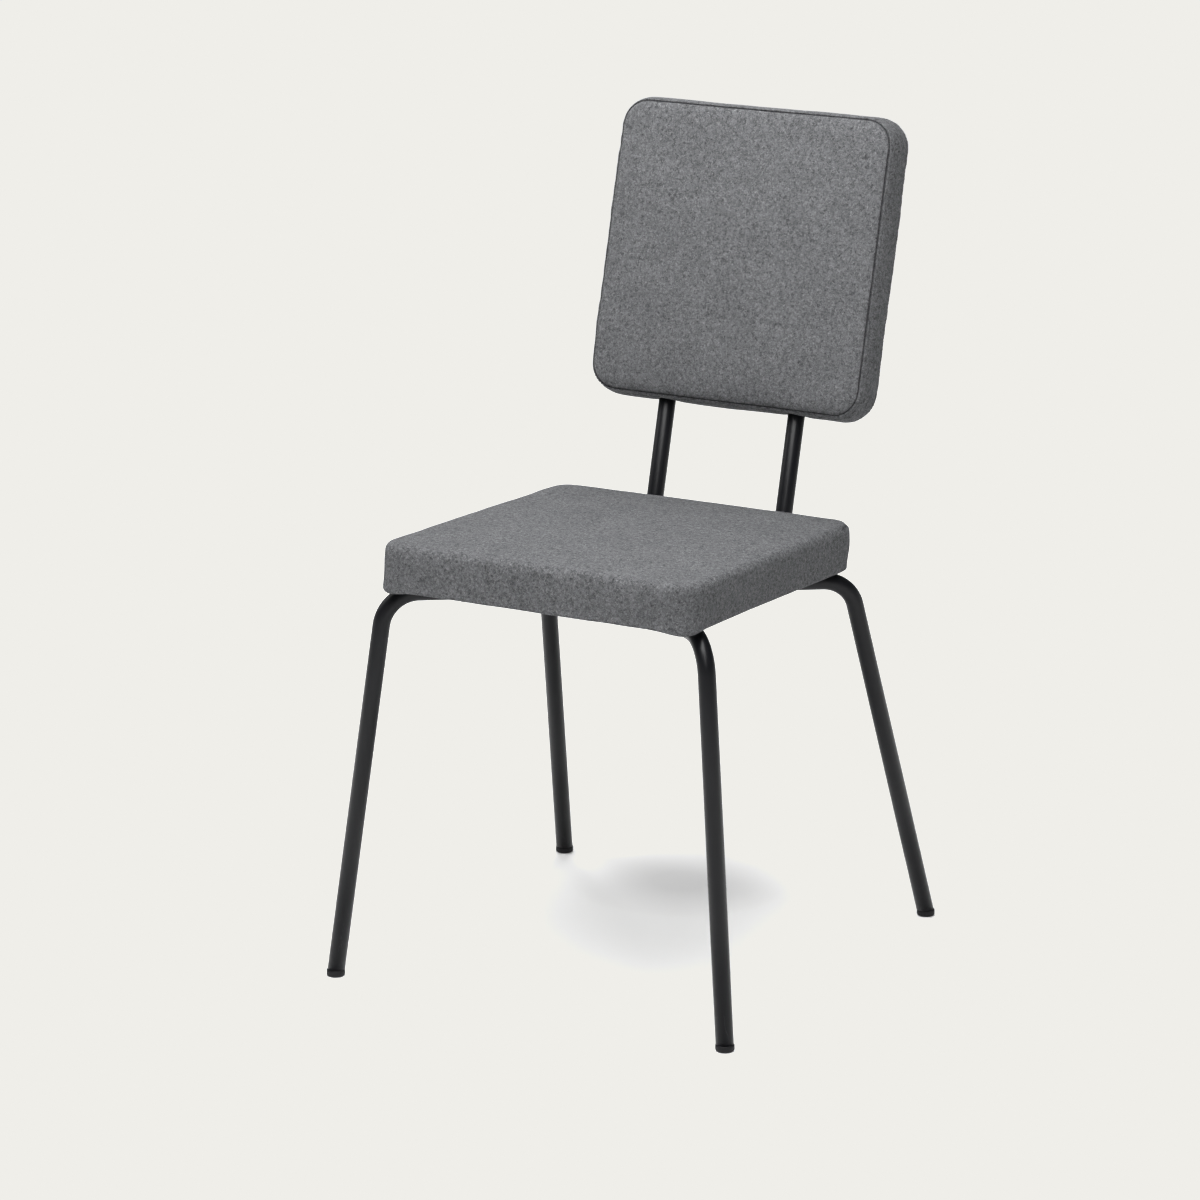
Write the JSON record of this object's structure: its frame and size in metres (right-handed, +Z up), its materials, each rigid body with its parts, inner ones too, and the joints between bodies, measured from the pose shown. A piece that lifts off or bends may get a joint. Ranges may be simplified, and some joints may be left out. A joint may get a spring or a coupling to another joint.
{
  "type": "dining chair",
  "caption": "Dining chair with a square upholstered seat and a square boxed back cushion on a frame of bent black steel tube with four splayed legs.",
  "frame": {"origin": "on the floor, under the middle of the chair's bounding box", "axes": "+Z up, -Y the way that the sitter faces, +X to the right of someone who looks at the chair's front"},
  "size_m": [0.4672, 0.534, 0.8414],
  "materials": {
    "powder_coat": "satin",
    "glide_plastic": "matte",
    "felt": "matte",
    "foam": "matte",
    "plywood": "matte",
    "dust_cover_cloth": "matte",
    "zinc_plated_steel": "satin"
  },
  "bodies": {
    "root": {"leg_tube_front_left_to_rear_right": "powder_coat", "leg_tube_front_right": "powder_coat", "leg_tube_rear_left": "powder_coat", "upright_tube_left": "powder_coat", "upright_tube_right": "powder_coat", "glide_front_left": "glide_plastic", "glide_front_right": "glide_plastic", "glide_rear_left": "glide_plastic", "glide_rear_right": "glide_plastic", "seat_cover": "felt", "seat_foam": "foam", "seat_board": "plywood", "seat_dust_cover": "dust_cover_cloth", "seat_screw_front_left": "zinc_plated_steel", "seat_screw_front_right": "zinc_plated_steel", "seat_screw_rear_left": "zinc_plated_steel", "seat_screw_rear_right": "zinc_plated_steel", "seat_tee_nut_front_left": "zinc_plated_steel", "seat_tee_nut_front_right": "zinc_plated_steel", "seat_tee_nut_rear_left": "zinc_plated_steel", "seat_tee_nut_rear_right": "zinc_plated_steel", "back_cover_front_panel": "felt", "back_cover_border": "felt", "back_cover_rear_panel": "felt", "back_foam_front": "foam", "back_board": "plywood", "back_foam_rear": "foam", "back_screw_lower_left": "zinc_plated_steel", "back_screw_lower_right": "zinc_plated_steel", "back_screw_upper_left": "zinc_plated_steel", "back_screw_upper_right": "zinc_plated_steel", "back_tee_nut_lower_left": "zinc_plated_steel", "back_tee_nut_lower_right": "zinc_plated_steel", "back_tee_nut_upper_left": "zinc_plated_steel", "back_tee_nut_upper_right": "zinc_plated_steel"}
  },
  "joints": []
}
